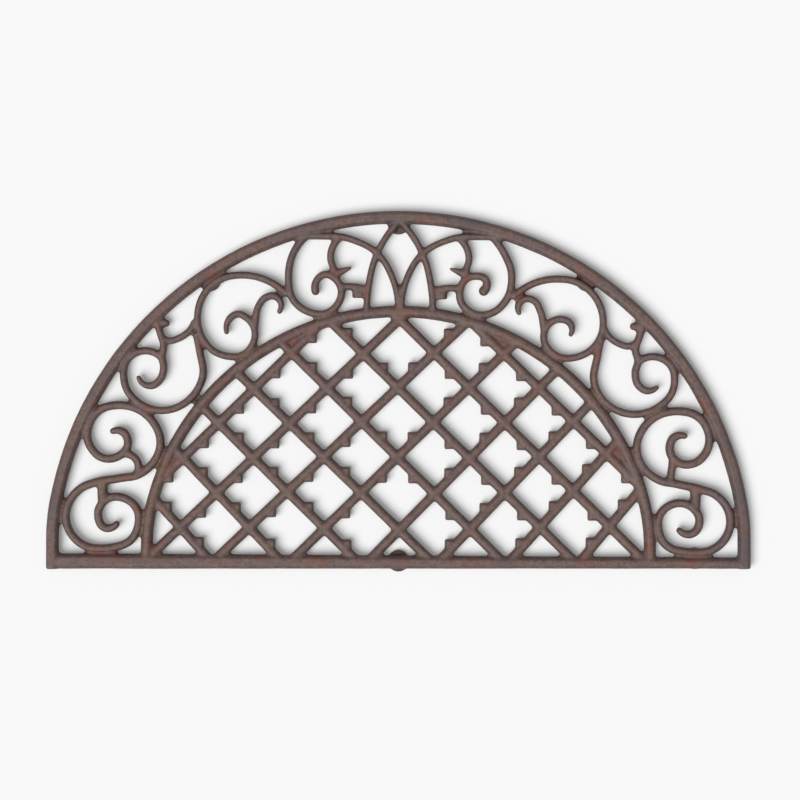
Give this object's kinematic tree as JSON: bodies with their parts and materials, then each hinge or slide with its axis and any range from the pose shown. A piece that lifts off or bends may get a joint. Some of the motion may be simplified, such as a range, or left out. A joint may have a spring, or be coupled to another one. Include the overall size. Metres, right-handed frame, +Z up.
{
  "type": "door mat",
  "caption": "Half-moon cast iron door mat with an arched rim, a diamond lattice, a band of open scrollwork and low round feet.",
  "frame": {"origin": "centre of the footprint, on the floor under the feet", "axes": "+X to the right along the straight edge, +Y from the straight edge to the crown of the arch, +Z up through the patterned side"},
  "size_m": [0.715, 0.3666, 0.015],
  "materials": {
    "cast_iron": "weathered brown iron with thin rust"
  },
  "bodies": {
    "root": {"base_bar": "cast_iron", "cusps_left": "cast_iron", "cusps_middle": "cast_iron", "cusps_right": "cast_iron", "falling_bar_1": "cast_iron", "falling_bar_2": "cast_iron", "falling_bar_3": "cast_iron", "falling_bar_4": "cast_iron", "falling_bar_5": "cast_iron", "falling_bar_6": "cast_iron", "falling_bar_7": "cast_iron", "falling_bar_8": "cast_iron", "foot_base_left": "cast_iron", "foot_base_middle": "cast_iron", "foot_base_right": "cast_iron", "foot_crown": "cast_iron", "foot_shoulder_left": "cast_iron", "foot_shoulder_right": "cast_iron", "inner_arch": "cast_iron", "lower_branch_left": "cast_iron", "lower_branch_right": "cast_iron", "lower_link_left": "cast_iron", "lower_link_right": "cast_iron", "lower_scroll_left": "cast_iron", "lower_scroll_right": "cast_iron", "middle_barb_left": "cast_iron", "middle_barb_right": "cast_iron", "middle_crescent_left": "cast_iron", "middle_crescent_right": "cast_iron", "middle_loop_left": "cast_iron", "middle_loop_right": "cast_iron", "middle_volute_left": "cast_iron", "middle_volute_right": "cast_iron", "outer_rim": "cast_iron", "pointed_arch_leg_left": "cast_iron", "pointed_arch_leg_right": "cast_iron", "rising_bar_1": "cast_iron", "rising_bar_2": "cast_iron", "rising_bar_3": "cast_iron", "rising_bar_4": "cast_iron", "rising_bar_5": "cast_iron", "rising_bar_6": "cast_iron", "rising_bar_7": "cast_iron", "rising_bar_8": "cast_iron", "stem_leg_left": "cast_iron", "stem_leg_right": "cast_iron", "top_curl_left": "cast_iron", "top_curl_right": "cast_iron", "top_link_left": "cast_iron", "top_link_right": "cast_iron", "top_scroll_left": "cast_iron", "top_scroll_right": "cast_iron", "top_stub_left": "cast_iron", "top_stub_right": "cast_iron", "upper_hook_left": "cast_iron", "upper_hook_right": "cast_iron", "upper_scroll_left": "cast_iron", "upper_scroll_right": "cast_iron"}
  },
  "joints": []
}
